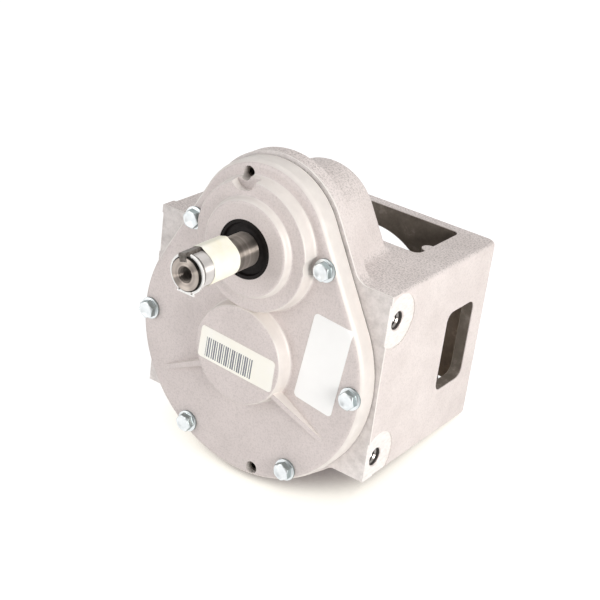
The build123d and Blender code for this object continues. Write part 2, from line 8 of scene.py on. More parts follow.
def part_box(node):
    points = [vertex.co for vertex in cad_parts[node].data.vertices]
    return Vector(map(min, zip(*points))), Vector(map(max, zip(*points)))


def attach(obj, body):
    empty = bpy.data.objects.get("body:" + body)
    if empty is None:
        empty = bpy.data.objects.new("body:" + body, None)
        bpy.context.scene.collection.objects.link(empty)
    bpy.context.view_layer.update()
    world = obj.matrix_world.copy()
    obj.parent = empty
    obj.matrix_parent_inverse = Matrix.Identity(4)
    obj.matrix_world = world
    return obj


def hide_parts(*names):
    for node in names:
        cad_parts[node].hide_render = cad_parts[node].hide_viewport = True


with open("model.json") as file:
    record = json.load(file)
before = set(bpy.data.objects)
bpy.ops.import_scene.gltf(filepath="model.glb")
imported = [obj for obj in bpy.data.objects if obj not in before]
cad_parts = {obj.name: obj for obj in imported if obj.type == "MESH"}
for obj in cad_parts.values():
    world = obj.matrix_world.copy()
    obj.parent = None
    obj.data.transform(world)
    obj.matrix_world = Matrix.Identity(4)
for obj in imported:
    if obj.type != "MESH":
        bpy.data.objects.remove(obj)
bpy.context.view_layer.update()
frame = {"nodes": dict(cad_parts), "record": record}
for loaded in bpy.context.selected_objects:
    loaded.select_set(False)


# The table that the reducer stands on. It rests on the round foot of its flange and on the lower rear
# edge of the box, so the table is turned about X until it meets both. It is a pale sweep without edges,
# with a painted contact shadow close under the reducer, painted lighter on the right, where the strongest
# lamp reaches in.
mm = 0.001
joint_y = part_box("gasket")[1].y
flange_foot_y = joint_y + 10 * mm
box_foot_z = -57.25 * mm
foot_drop = box_foot_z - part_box("housing")[0].z
table_tilt = math.atan2(foot_drop, -flange_foot_y)
table_gap = 0.3 * mm
table_size = 6.0
table_up = Vector((0, -math.sin(table_tilt), math.cos(table_tilt)))
table_back = Vector((0, math.cos(table_tilt), math.sin(table_tilt)))
table_center = Vector((0, 0, box_foot_z)) - table_up * table_gap

bpy.ops.mesh.primitive_plane_add(size=table_size, location=table_center, rotation=(table_tilt, 0, 0))
table = bpy.context.object
table.name = "table"
table_paint = bpy.data.materials.new("pale_table")
table_paint.use_nodes = True
table_tree = table_paint.node_tree
table_tree.nodes.clear()
table_out = table_tree.nodes.new("ShaderNodeOutputMaterial")
table_plain = table_tree.nodes.new("ShaderNodeBsdfDiffuse")
table_plain.inputs["Color"].default_value = (0.88, 0.87, 0.85, 1)
table_veil = table_tree.nodes.new("ShaderNodeBsdfDiffuse")
table_veil.inputs["Color"].default_value = (0.12, 0.13, 0.16, 1)
table_glow = table_tree.nodes.new("ShaderNodeEmission")
table_glow.inputs["Strength"].default_value = 1.0
# Painted shadow: occlusion under the reducer darkens the table's glow colour.
table_painted_shadow_ao = table_tree.nodes.new("ShaderNodeAmbientOcclusion")
table_painted_shadow_ao.samples = 24
table_painted_shadow_ao.inputs["Distance"].default_value = 60 * mm
table_shadow_stops = (
    (0.05, (0.06, 0.045, 0.04)),
    (0.18, (0.24, 0.2, 0.17)),
    (0.36, (0.92, 0.87, 0.77)),
    (0.56, (1.0, 0.975, 0.91)),
    (0.8, (1.0, 0.99, 0.965)),
)
table_shade = table_tree.nodes.new("ShaderNodeValToRGB")
while len(table_shade.color_ramp.elements) < len(table_shadow_stops):
    table_shade.color_ramp.elements.new(0.5)
for element, (place, color) in zip(table_shade.color_ramp.elements, table_shadow_stops):
    element.position = place
    element.color = (*color, 1)
table_spot = table_tree.nodes.new("ShaderNodeTexCoord")
table_axes = table_tree.nodes.new("ShaderNodeSeparateXYZ")
# Painted light: the painted shadow is made lighter towards the right, where the strongest lamp stands.
lit_from = 66 * mm
lit_rise = 10.0
table_painted_lamp_light = table_tree.nodes.new("ShaderNodeMath")
table_painted_lamp_light.operation = "MULTIPLY_ADD"
table_painted_lamp_light.inputs[1].default_value = lit_rise
table_painted_lamp_light.inputs[2].default_value = -lit_rise * lit_from
table_open = table_tree.nodes.new("ShaderNodeMath")
table_open.operation = "ADD"
table_rays = table_tree.nodes.new("ShaderNodeLightPath")
table_seen = table_tree.nodes.new("ShaderNodeMath")
table_seen.operation = "ADD"
for step in (table_painted_lamp_light, table_open, table_seen):
    step.use_clamp = True
table_sum = table_tree.nodes.new("ShaderNodeAddShader")
table_mixed = table_tree.nodes.new("ShaderNodeMixShader")
for source, target in (
    (table_spot.outputs["Object"], table_axes.inputs[0]),
    (table_axes.outputs["X"], table_painted_lamp_light.inputs[0]),
    (table_painted_shadow_ao.outputs["AO"], table_open.inputs[0]),
    (table_painted_lamp_light.outputs[0], table_open.inputs[1]),
    (table_open.outputs[0], table_shade.inputs["Fac"]),
    (table_shade.outputs["Color"], table_glow.inputs["Color"]),
    (table_rays.outputs["Is Camera Ray"], table_seen.inputs[0]),
    (table_rays.outputs["Is Glossy Ray"], table_seen.inputs[1]),
    (table_veil.outputs[0], table_sum.inputs[0]),
    (table_glow.outputs[0], table_sum.inputs[1]),
    (table_seen.outputs[0], table_mixed.inputs[0]),
    (table_plain.outputs[0], table_mixed.inputs[1]),
    (table_sum.outputs[0], table_mixed.inputs[2]),
    (table_mixed.outputs[0], table_out.inputs["Surface"]),
):
    table_tree.links.new(source, target)
table.data.materials.append(table_paint)


# Surroundings of the light tent: pure white to the eye, a gentle even fill on the object, and for polished
# metal a white backdrop that turns to a darker room on the side that the front of the reducer faces.
room = bpy.data.worlds.new("white_room")
room.use_nodes = True
bpy.context.scene.world = room
room_tree = room.node_tree
room_tree.nodes.clear()
room_out = room_tree.nodes.new("ShaderNodeOutputWorld")
room_white = room_tree.nodes.new("ShaderNodeBackground")
room_white.inputs["Color"].default_value = (1, 1, 1, 1)
room_fill = room_tree.nodes.new("ShaderNodeBackground")
room_fill.inputs["Color"].default_value = (1, 0.99, 0.975, 1)
room_fill.inputs["Strength"].default_value = 0.42
room_gloss = room_tree.nodes.new("ShaderNodeBackground")
room_gloss.inputs["Color"].default_value = (1, 0.99, 0.98, 1)
room_way = room_tree.nodes.new("ShaderNodeTexCoord")
room_axes = room_tree.nodes.new("ShaderNodeSeparateXYZ")
room_depth = room_tree.nodes.new("ShaderNodeMapRange")
room_depth.inputs["From Min"].default_value = -0.55
room_depth.inputs["From Max"].default_value = 0.25
room_depth.inputs["To Min"].default_value = 0.22
room_depth.inputs["To Max"].default_value = 1.0
room_rays = room_tree.nodes.new("ShaderNodeLightPath")
room_mirror = room_tree.nodes.new("ShaderNodeMixShader")
room_mix = room_tree.nodes.new("ShaderNodeMixShader")
for source, target in (
    (room_way.outputs["Generated"], room_axes.inputs[0]),
    (room_axes.outputs["Y"], room_depth.inputs["Value"]),
    (room_depth.outputs[0], room_gloss.inputs["Strength"]),
    (room_rays.outputs["Is Glossy Ray"], room_mirror.inputs[0]),
    (room_fill.outputs[0], room_mirror.inputs[1]),
    (room_gloss.outputs[0], room_mirror.inputs[2]),
    (room_rays.outputs["Is Camera Ray"], room_mix.inputs[0]),
    (room_mirror.outputs[0], room_mix.inputs[1]),
    (room_white.outputs[0], room_mix.inputs[2]),
    (room_mix.outputs[0], room_out.inputs["Surface"]),
):
    room_tree.links.new(source, target)


# Soft lamps: the strongest stands low on the right, with weaker and wider ones in front on the left and
# above.
def add_lamp(name, side, back, up, size, watts, tint):
    spot = table_center + Vector((side, 0, 0)) + table_back * back + table_up * up
    bpy.ops.object.light_add(type="AREA", location=spot)
    lamp = bpy.context.object
    lamp.name = name
    lamp.data.shape = "SQUARE"
    lamp.data.size = size
    lamp.data.energy = watts
    lamp.data.color = tint
    aim = Vector((0, joint_y / 2, 0)) - spot
    lamp.rotation_euler = aim.to_track_quat("-Z", "Y").to_euler()


add_lamp("lamp_right", 1.1, -0.35, 0.5, 0.48, 9.2, (1, 0.98, 0.955))
add_lamp("lamp_front", -0.75, -1.05, 0.6, 0.8, 5.4, (1, 1, 1))
add_lamp("lamp_above", 0.0, 0.2, 1.2, 0.9, 2.6, (1, 1, 1))


# Camera: long lens, high on the front right, turned a little because the reducer lies tipped back.
camera_azimuth = math.radians(32.82)
camera_height = math.radians(25.54)
camera_roll = math.radians(7.47)
camera_distance = 0.8619
camera_target = Vector((-2.72, -80.5, 15.69)) * mm
camera_back = Vector((
    math.sin(camera_azimuth) * math.cos(camera_height),
    -math.cos(camera_azimuth) * math.cos(camera_height),
    math.sin(camera_height),
))
bpy.ops.object.camera_add(location=camera_target + camera_back * camera_distance)
camera = bpy.context.object
camera.name = "camera"
camera.rotation_mode = "QUATERNION"
camera.rotation_quaternion = camera_back.to_track_quat("Z", "Y") @ Quaternion((0, 0, 1), camera_roll)
camera.data.sensor_width = 36.0
camera.data.lens = 85.2
camera.data.clip_start = 10 * mm
bpy.context.scene.camera = camera
bpy.context.scene.view_settings.view_transform = "Standard"


# Housing: one sand casting in aluminium. The skin is a warm light grey with sand grain; the inside of the
# coupling box is painted dark as painted shade, and the faces that a cutter has touched are bright.
nodes = frame["nodes"]


def paint(node, finish):
    nodes[node].data.materials.clear()
    nodes[node].data.materials.append(finish)


def new_finish(name):
    finish = bpy.data.materials.new(name)
    finish.use_nodes = True
    return finish, finish.node_tree, finish.node_tree.nodes["Principled BSDF"]


def add_noise(tree, scale, detail=3.0, roughness=0.55, vector=None):
    if vector is None:
        vector = tree.nodes.new("ShaderNodeTexCoord").outputs["Object"]
    noise = tree.nodes.new("ShaderNodeTexNoise")
    noise.inputs["Scale"].default_value = scale
    noise.inputs["Detail"].default_value = detail
    noise.inputs["Roughness"].default_value = roughness
    tree.links.new(vector, noise.inputs["Vector"])
    return noise.outputs["Fac"]


def add_ramp(tree, source, stops):
    ramp = tree.nodes.new("ShaderNodeValToRGB")
    while len(ramp.color_ramp.elements) < len(stops):
        ramp.color_ramp.elements.new(0.5)
    for element, (place, color) in zip(ramp.color_ramp.elements, stops):
        element.position = place
        element.color = (*color, 1)
    tree.links.new(source, ramp.inputs["Fac"])
    return ramp.outputs["Color"]


def add_bump(tree, shader, heights):
    normal = None
    for source, depth in heights:
        bump = tree.nodes.new("ShaderNodeBump")
        bump.inputs["Strength"].default_value = 1.0
        bump.inputs["Distance"].default_value = depth
        tree.links.new(source, bump.inputs["Height"])
        if normal is not None:
            tree.links.new(normal, bump.inputs["Normal"])
        normal = bump.outputs["Normal"]
    tree.links.new(normal, shader.inputs["Normal"])


def add_math(tree, operation, *values):
    step = tree.nodes.new("ShaderNodeMath")
    step.operation = operation
    for socket, value in zip(step.inputs, values):
        if isinstance(value, (int, float)):
            socket.default_value = value
        else:
            tree.links.new(value, socket)
    return step.outputs[0]


def add_axes(tree):
    axes = tree.nodes.new("ShaderNodeSeparateXYZ")
    spot = tree.nodes.new("ShaderNodeTexCoord")
    tree.links.new(spot.outputs["Object"], axes.inputs[0])
    return axes.outputs["X"], axes.outputs["Y"], axes.outputs["Z"]


def add_normal(tree):
    axes = tree.nodes.new("ShaderNodeSeparateXYZ")
    spot = tree.nodes.new("ShaderNodeTexCoord")
    tree.links.new(spot.outputs["Normal"], axes.inputs[0])
    return axes.outputs["X"], axes.outputs["Y"], axes.outputs["Z"]


def add_mix(tree, share, below, above, blend="MIX"):
    mix = tree.nodes.new("ShaderNodeMix")
    mix.data_type = "RGBA"
    mix.blend_type = blend
    for socket, value in ((mix.inputs[0], share), (mix.inputs[6], below), (mix.inputs[7], above)):
        if isinstance(value, (int, float)):
            socket.default_value = value
        elif isinstance(value, tuple):
            socket.default_value = (*value, 1)
        else:
            tree.links.new(value, socket)
    return mix.outputs[2]


def add_distance(tree, first, first_center, second, second_center):
    first_part = add_math(tree, "POWER", add_math(tree, "SUBTRACT", first, first_center), 2.0)
    second_part = add_math(tree, "POWER", add_math(tree, "SUBTRACT", second, second_center), 2.0)
    return add_math(tree, "SQRT", add_math(tree, "ADD", first_part, second_part))


def plain_finish(name, metallic, roughness, grain, dark, light):
    finish, tree, shader = new_finish(name)
    shader.inputs["Metallic"].default_value = metallic
    shader.inputs["Roughness"].default_value = roughness
    tone = add_ramp(tree, add_noise(tree, grain), [(0.3, dark), (0.7, light)])
    tree.links.new(tone, shader.inputs["Base Color"])
    return finish, tree, shader, tone


def add_skin(tree, shader, light, dark, grain_depth, speckle_share):
    cloud = add_ramp(tree, add_noise(tree, 38.0, 4.0, 0.6), [(0.32, dark), (0.66, light)])
    speckle = add_ramp(tree, add_noise(tree, 950.0, 2.0, 0.6), [
        (0.32, (0.62, 0.61, 0.6)),
        (0.5, (0.97, 0.97, 0.97)),
        (0.72, (1.12, 1.12, 1.12)),
    ])
    add_bump(tree, shader, [
        (add_noise(tree, 1300.0, 2.0), grain_depth),
        (add_noise(tree, 260.0, 3.0), grain_depth * 1.4),
        (add_noise(tree, 40.0, 2.0), 0.25 * mm),
    ])
    return add_mix(tree, speckle_share, cloud, speckle, "MULTIPLY")


housing_cast, housing_tree, housing_shader = new_finish("housing_cast_aluminium")
housing_shader.inputs["Metallic"].default_value = 0.2
housing_shader.inputs["Specular IOR Level"].default_value = 0.35
housing_x, housing_y, housing_z = add_axes(housing_tree)
housing_side = add_math(housing_tree, "ABSOLUTE", housing_x)
housing_level = add_math(housing_tree, "ABSOLUTE", housing_z)
# The speckle is stronger on faces that look up.
upward_lean = add_math(housing_tree, "MULTIPLY_ADD", add_normal(housing_tree)[2], 2.0, -0.9)
faces_up = add_math(housing_tree, "MINIMUM", 1.0, add_math(housing_tree, "MAXIMUM", 0.0, upward_lean))
upward_speckle_share = add_math(housing_tree, "MULTIPLY_ADD", faces_up, 0.75, 0.25)
housing_skin = add_skin(
    housing_tree, housing_shader, (0.79, 0.725, 0.705), (0.71, 0.645, 0.625), 0.1 * mm, upward_speckle_share
)


def add_region(x_span, y_span, z_span):
    shares = [
        add_math(housing_tree, "COMPARE", place, (low + high) / 2 * mm, (high - low) / 2 * mm)
        for place, (low, high) in (
            (housing_x, x_span), (housing_y, y_span), (housing_z, z_span)
        )
    ]
    return add_math(
        housing_tree, "MULTIPLY", shares[0], add_math(housing_tree, "MULTIPLY", shares[1], shares[2])
    )


# The inside of the coupling box with its windows, in millimetres, painted dark as painted shade. Its lower
# part is painted lighter, as painted light.
chamber = add_region((-75.3, 75.3), (-78.7, -8.9), (-50, 55))
side_windows = add_region((-82.0, 82.0), (-50.7, -19.0), (-24.2, 29.2))
top_window = add_region((-60.2, 60.2), (-58.1, -8.9), (54, 61.8))
in_chamber = add_math(
    housing_tree, "MAXIMUM", chamber, add_math(housing_tree, "MAXIMUM", side_windows, top_window)
)
# Painted shade: dark tones for the inner walls and the window jambs.
chamber_painted_shade = add_ramp(
    housing_tree, add_noise(housing_tree, 85.0, 5.0, 0.7),
    [(0.3, (0.14, 0.117, 0.097)), (0.56, (0.21, 0.18, 0.152)), (0.74, (0.38, 0.335, 0.295))],
)
low_part_top = 32 * mm
low_part_half_width = 75.2 * mm
chamber_low_painted_light = add_math(
    housing_tree, "MULTIPLY",
    add_math(housing_tree, "LESS_THAN", housing_z, low_part_top),
    add_math(housing_tree, "LESS_THAN", housing_side, low_part_half_width),
)
# Painted light: the lower part of the inside is made 2.5 times lighter.
chamber_shade_tone = add_mix(
    housing_tree, chamber_low_painted_light, chamber_painted_shade,
    add_mix(housing_tree, 1.0, chamber_painted_shade, (2.5, 2.5, 2.5), "MULTIPLY"),
)

# What a cutter has touched: the spot faces round the side holes, the rear face and the register hole.
mounts = {mount["name"]: mount for mount in frame["record"]["mounts"]}
hole_y = mounts["right_side_holes"]["pos_m"][1]
hole_half_spacing = mounts["right_side_holes"]["dims"]["spacing_y_mm"] / 2 * mm
hole_mask_radius = 5.6 * mm
hole_bottom_x = 55 * mm
spot_mask_radius = 16.6 * mm
spot_face_x = 81.84 * mm
bolt_half_x = mounts["rear_bolts"]["dims"]["spacing_x_mm"] / 2 * mm
bolt_half_z = mounts["rear_bolts"]["dims"]["spacing_y_mm"] / 2 * mm
bolt_mask_radius = 5.35 * mm
bolt_mask_y = -5.3 * mm
bolt_mask_half = 5 * mm
register_radius = mounts["rear_register"]["dims"]["r_mm"] * mm
register_front_y = -9.3 * mm
wall_tolerance = 0.3 * mm
face_tolerance = 0.1 * mm
hole_reach = add_distance(housing_tree, housing_y, hole_y, housing_level, hole_half_spacing)
in_hole = add_math(
    housing_tree, "MULTIPLY",
    add_math(housing_tree, "LESS_THAN", hole_reach, hole_mask_radius),
    add_math(housing_tree, "GREATER_THAN", housing_side, hole_bottom_x),
)
bolt_reach = add_distance(housing_tree, housing_side, bolt_half_x, housing_level, bolt_half_z)
in_bolt_hole = add_math(
    housing_tree, "MULTIPLY",
    add_math(housing_tree, "LESS_THAN", bolt_reach, bolt_mask_radius),
    add_math(housing_tree, "COMPARE", housing_y, bolt_mask_y, bolt_mask_half),
)
# Painted shade: the walls of the side holes and rear bolt holes are painted nearly black.
bored_painted_shade = add_math(housing_tree, "MAXIMUM", in_hole, in_bolt_hole)
spot_face = add_math(
    housing_tree, "MULTIPLY",
    add_math(housing_tree, "LESS_THAN", hole_reach, spot_mask_radius),
    add_math(housing_tree, "COMPARE", housing_side, spot_face_x, wall_tolerance),
)
axis_reach = add_distance(housing_tree, housing_x, 0.0, housing_z, 0.0)
register_wall = add_math(
    housing_tree, "MULTIPLY",
    add_math(housing_tree, "COMPARE", axis_reach, register_radius, wall_tolerance),
    add_math(housing_tree, "GREATER_THAN", housing_y, register_front_y),
)
rear_face = add_math(housing_tree, "COMPARE", housing_y, 0.0, face_tolerance)
milled = add_math(
    housing_tree, "MAXIMUM", spot_face, add_math(housing_tree, "MAXIMUM", register_wall, rear_face)
)
cutter_marks = housing_tree.nodes.new("ShaderNodeMapping")
cutter_marks.inputs["Scale"].default_value = (0.08, 0.35, 1)
cutter_spot = housing_tree.nodes.new("ShaderNodeTexCoord")
housing_tree.links.new(cutter_spot.outputs["Object"], cutter_marks.inputs["Vector"])
milled_tone = add_ramp(
    housing_tree, add_noise(housing_tree, 620.0, 4.0, 0.65, cutter_marks.outputs[0]),
    [(0.3, (0.77, 0.735, 0.71)), (0.62, (0.91, 0.875, 0.855))],
)

# The joint face round the cover is duller and blotched, paler at its foot, and its edge carries a painted
# highlight.
joint_face = add_math(housing_tree, "COMPARE", housing_y, joint_y, face_tolerance)
edge_start = joint_y + 0.05 * mm
edge_width = 1.1 * mm
square_on = 0.9
on_edge = add_math(
    housing_tree, "COMPARE", housing_y, edge_start + edge_width / 2, edge_width / 2
)
housing_facing = add_math(housing_tree, "ABSOLUTE", add_normal(housing_tree)[1])
off_face = add_math(housing_tree, "LESS_THAN", housing_facing, square_on)
# Painted highlight: a light line along the front edge of the housing.
front_edge_highlight = add_math(housing_tree, "MULTIPLY", on_edge, off_face)
joint_skin = add_ramp(
    housing_tree, add_noise(housing_tree, 210.0, 5.0, 0.7),
    [(0.3, (0.62, 0.58, 0.565)), (0.62, (0.8, 0.755, 0.74))],
)
foot_from = -35 * mm
foot_rise = 20.0
joint_low = add_ramp(
    housing_tree, add_math(housing_tree, "MULTIPLY_ADD", housing_z, -foot_rise, foot_rise * foot_from),
    [(0.0, (1.0, 1.0, 1.0)), (0.6, (1.2, 1.2, 1.2))],
)
joint_tone = add_mix(housing_tree, 1.0, joint_skin, joint_low, "MULTIPLY")

housing_tone = housing_skin
for where, tone in (
    (front_edge_highlight, (0.86, 0.82, 0.79)),
    (in_chamber, chamber_shade_tone),
    (joint_face, joint_tone),
    (milled, milled_tone),
    (bored_painted_shade, (0.1, 0.09, 0.085)),
):
    housing_tone = add_mix(housing_tree, where, housing_tone, tone)
housing_tree.links.new(housing_tone, housing_shader.inputs["Base Color"])
cast_roughness = 0.62
milled_roughness = 0.4
housing_tree.links.new(
    add_math(housing_tree, "MULTIPLY_ADD", milled, milled_roughness - cast_roughness, cast_roughness),
    housing_shader.inputs["Roughness"],
)
paint("housing", housing_cast)


# Cover: the same alloy from a smoother mould, blasted after casting, so its grain is finer and softer.
# Its walls are painted paler than the faces that look to the front, as painted light from the lamps.
cover_cast, cover_tree, cover_shader = new_finish("cover_cast_aluminium")
cover_shader.inputs["Metallic"].default_value = 0.2
cover_shader.inputs["Roughness"].default_value = 0.55
cover_shader.inputs["Specular IOR Level"].default_value = 0.4
wall_lean = 0.8
cover_facing = add_math(cover_tree, "ABSOLUTE", add_normal(cover_tree)[1])
cover_wall = add_math(cover_tree, "LESS_THAN", cover_facing, wall_lean)
cover_skin = add_skin(
    cover_tree, cover_shader, (0.73, 0.66, 0.645), (0.67, 0.605, 0.59), 0.04 * mm, 0.3
)
# Painted light: a lighter tone for the walls of the cover.
cover_wall_painted_light = add_ramp(
    cover_tree, add_noise(cover_tree, 120.0),
    [(0.3, (0.745, 0.7, 0.67)), (0.7, (0.815, 0.77, 0.735))],
)
cover_tree.links.new(
    add_mix(cover_tree, cover_wall, cover_skin, cover_wall_painted_light), cover_shader.inputs["Base Color"]
)
paint("cover", cover_cast)


# Threads of the four side holes: a coarse thread, cut into the bored wall and shiny. Each is one strip
# with three edges that winds inwards from the mouth of its hole.
thread_metal = plain_finish(
    "tapped_aluminium", 1.0, 0.22, 500.0, (0.26, 0.24, 0.225), (0.42, 0.395, 0.38)
)[0]
inch = 25.4 * mm
threads_per_inch = 13
thread_pitch = inch / threads_per_inch
thread_half_foot = thread_pitch * 0.45
thread_root = 5.37 * mm
thread_crest = 4.5 * mm
thread_mouth = 80.5 * mm
thread_turns = 9
thread_steps = 40
soft_angle = math.radians(40)
for side in (-1, 1):
    for level in (-1, 1):
        bpy.ops.mesh.primitive_circle_add(vertices=3, radius=thread_pitch / 2)
        thread = bpy.context.object
        side_name = "right" if side > 0 else "left"
        level_name = "high" if level > 0 else "low"
        thread.name = f"side_thread_{side_name}_{level_name}"
        section = (
            (-thread_half_foot, 0, thread_root),
            (thread_half_foot, 0, thread_root),
            (0, 0, thread_crest),
        )
        for vertex, spot in zip(thread.data.vertices, section):
            vertex.co = spot
        turning = thread.modifiers.new("turning", "SCREW")
        turning.axis = "X"
        turning.screw_offset = -side * thread_pitch
        turning.iterations = thread_turns
        turning.steps = thread_steps
        turning.render_steps = thread_steps
        bpy.ops.object.modifier_apply(modifier="turning")
        bpy.ops.object.mode_set(mode="EDIT")
        bpy.ops.mesh.select_all(action="SELECT")
        bpy.ops.mesh.fill_holes(sides=3)
        bpy.ops.mesh.normals_make_consistent(inside=False)
        bpy.ops.mesh.select_all(action="DESELECT")
        bpy.ops.object.mode_set(mode="OBJECT")
        thread.location = (side * (thread_mouth - thread_pitch / 2), hole_y, level * hole_half_spacing)
        bpy.ops.object.transform_apply(location=True, rotation=True, scale=True)
        bpy.ops.object.shade_smooth_by_angle(angle=soft_angle)
        thread.data.materials.append(thread_metal)
        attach(thread, "case")
        thread.select_set(False)


# Cover screws: six hexagon screws with a pressed-on washer, with a shallow dish in the head and rolled
# edges. They are copied from the model so that each keeps its own turn. The zinc is painted darker on their
# flanks, as painted reflection of a darker room.
zinc, zinc_tree, zinc_shader, zinc_plate = plain_finish(
    "zinc_plate", 1.0, 0.38, 260.0, (0.8, 0.84, 0.85), (0.93, 0.955, 0.96)
)
# Painted shade: the flanks of the screws are darkened by how far they turn from the front.
zinc_facing = add_math(zinc_tree, "ABSOLUTE", add_normal(zinc_tree)[1])
zinc_flank_painted_shade = add_ramp(zinc_tree, zinc_facing, [
    (0.1, (0.36, 0.4, 0.4)),
    (0.6, (0.6, 0.64, 0.64)),
    (0.9, (1.0, 1.0, 1.0)),
])
zinc_tree.links.new(
    add_mix(zinc_tree, 1.0, zinc_plate, zinc_flank_painted_shade, "MULTIPLY"), zinc_shader.inputs["Base Color"]
)
add_bump(zinc_tree, zinc_shader, [(add_noise(zinc_tree, 900.0), 0.02 * mm)])
dish_rim = 1.1 * mm
dish_slope = 0.5 * mm
dish_depth = 0.25 * mm
rolled_edge = 0.3 * mm
rolled_angle = math.radians(28)
weld_reach = 0.005 * mm
flat_angle = math.radians(1)
smooth_angle = math.radians(32)
head_lean = 0.99
screws = nodes["cover_screws"].copy()
screws.data = nodes["cover_screws"].data.copy()
screws.name = "washer_head_screws"
screws.parent = None
bpy.context.scene.collection.objects.link(screws)
bpy.context.view_layer.objects.active = screws
screws.select_set(True)
head_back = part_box("cover_screws")[0].y + 0.2 * mm
bpy.ops.object.mode_set(mode="EDIT")
bpy.ops.mesh.select_all(action="SELECT")
bpy.ops.mesh.remove_doubles(threshold=weld_reach)
bpy.ops.mesh.dissolve_limited(angle_limit=flat_angle)
bpy.ops.mesh.select_all(action="DESELECT")
bpy.ops.object.mode_set(mode="OBJECT")
for face in screws.data.polygons:
    face.select = face.normal.y < -head_lean and face.center.y < head_back
bpy.ops.object.mode_set(mode="EDIT")
bpy.ops.mesh.inset(thickness=dish_rim)
bpy.ops.mesh.inset(thickness=dish_slope)
bpy.ops.transform.translate(value=(0, dish_depth, 0))
bpy.ops.mesh.select_all(action="DESELECT")
bpy.ops.object.mode_set(mode="OBJECT")
rolled = screws.modifiers.new("rolled", "BEVEL")
rolled.width = rolled_edge
rolled.segments = 2
rolled.limit_method = "ANGLE"
rolled.angle_limit = rolled_angle
bpy.ops.object.modifier_apply(modifier="rolled")
bpy.ops.object.shade_smooth_by_angle(angle=smooth_angle)
screws.data.materials.clear()
screws.data.materials.append(zinc)
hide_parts("cover_screws")
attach(screws, "case")
screws.select_set(False)


# Clip at the shaft's end: stamped from thin spring steel and plated like the screws, only brighter.
clip_plate = plain_finish(
    "bright_clip_plate", 0.7, 0.4, 300.0, (0.88, 0.87, 0.85), (0.96, 0.95, 0.93)
)[0]
paint("shaft_clip", clip_plate)


# Shafts: turned and ground steel, dark, with fine rings round the axis and a shine drawn out along it.
# Their end faces are painted lighter as painted light.
# The input shaft is painted nearly black in its clip's groove as painted shadow, and painted bright behind
# it as a painted highlight.
input_z = (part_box("input_seal")[0].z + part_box("input_seal")[1].z) / 2


def ground_finish(name, axis_z, light, dark, roughness):
    finish, tree, shader = new_finish(name)
    shader.inputs["Metallic"].default_value = 1.0
    shader.inputs["Roughness"].default_value = roughness
    shader.inputs["Anisotropic"].default_value = 1.0
    x, y, z = add_axes(tree)
    reach = add_distance(tree, x, 0.0, z, axis_z)
    rings = tree.nodes.new("ShaderNodeCombineXYZ")
    tree.links.new(reach, rings.inputs["X"])
    tree.links.new(y, rings.inputs["Y"])
    turned = add_noise(tree, 350.0, 4.0, 0.6, rings.outputs[0])
    tone = add_ramp(tree, turned, [(0.3, dark), (0.7, light)])
    # Painted light: the end faces are made twice as light as the turned skin.
    facing = add_math(tree, "ABSOLUTE", add_normal(tree)[1])
    end_face_painted_light = add_math(tree, "GREATER_THAN", facing, square_on)
    tone = add_mix(tree, end_face_painted_light, tone, add_mix(tree, 1.0, tone, (2.0, 2.0, 2.0), "MULTIPLY"))
    tree.links.new(tone, shader.inputs["Base Color"])
    add_bump(tree, shader, [(add_noise(tree, 5200.0, 1.0, 0.5, rings.outputs[0]), 0.008 * mm)])
    outward = tree.nodes.new("ShaderNodeCombineXYZ")
    tree.links.new(x, outward.inputs["X"])
    outward.inputs["Y"].default_value = 10 * mm
    tree.links.new(add_math(tree, "SUBTRACT", z, axis_z), outward.inputs["Z"])
    grinding = tree.nodes.new("ShaderNodeVectorTransform")
    grinding.vector_type = "VECTOR"
    grinding.convert_from = "OBJECT"
    grinding.convert_to = "WORLD"
    tree.links.new(outward.outputs[0], grinding.inputs[0])
    tree.links.new(grinding.outputs[0], shader.inputs["Tangent"])
    return finish, tree, shader, tone, y, reach


output_steel = ground_finish("ground_output_shaft", 0.0, (0.45, 0.42, 0.4), (0.3, 0.28, 0.265), 0.4)[0]
input_steel, input_tree, input_shader, input_tone, input_y, input_reach = ground_finish(
    "ground_input_shaft", input_z, (0.4, 0.355, 0.32), (0.2, 0.175, 0.155), 0.5
)
shaft_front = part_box("input_shaft")[0].y
groove_front = shaft_front + 0.1 * mm
groove_back = shaft_front + 5.4 * mm
groove_core = 6 * mm
band_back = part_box("key_tape")[0].y + 1 * mm
band_core = 9 * mm
band_dullness = 0.4


def add_band(front, back, core):
    return add_math(
        input_tree, "MULTIPLY",
        add_math(input_tree, "COMPARE", input_y, (front + back) / 2, (back - front) / 2),
        add_math(input_tree, "GREATER_THAN", input_reach, core),
    )


# Painted shadow: the groove behind the clip is painted nearly black.
input_tone = add_mix(
    input_tree, add_band(groove_front, groove_back, groove_core), input_tone, (0.03, 0.027, 0.024)
)
# Painted highlight: the band between the groove and the tape is painted bright and less metallic.
bright_band_painted_highlight = add_band(groove_back, band_back, band_core)
input_tone = add_mix(input_tree, bright_band_painted_highlight, input_tone, (0.76, 0.73, 0.71))
input_tree.links.new(input_tone, input_shader.inputs["Base Color"])
input_tree.links.new(
    add_math(input_tree, "MULTIPLY_ADD", bright_band_painted_highlight, -band_dullness, 1.0), input_shader.inputs["Metallic"]
)
for part in ("input_shaft", "input_seal_spring"):
    paint(part, input_steel)
for part in ("output_shaft", "output_seal_spring", "output_gear"):
    paint(part, output_steel)


# Keys, dowels and the gear's ring: oiled dark steel with a little rust bloom.
oiled_steel = plain_finish("oiled_steel", 0.9, 0.42, 600.0, (0.09, 0.08, 0.07), (0.24, 0.215, 0.195))[0]
for part in ("input_key", "output_key", "gear_key", "gear_circlip", "dowel_pins"):
    paint(part, oiled_steel)


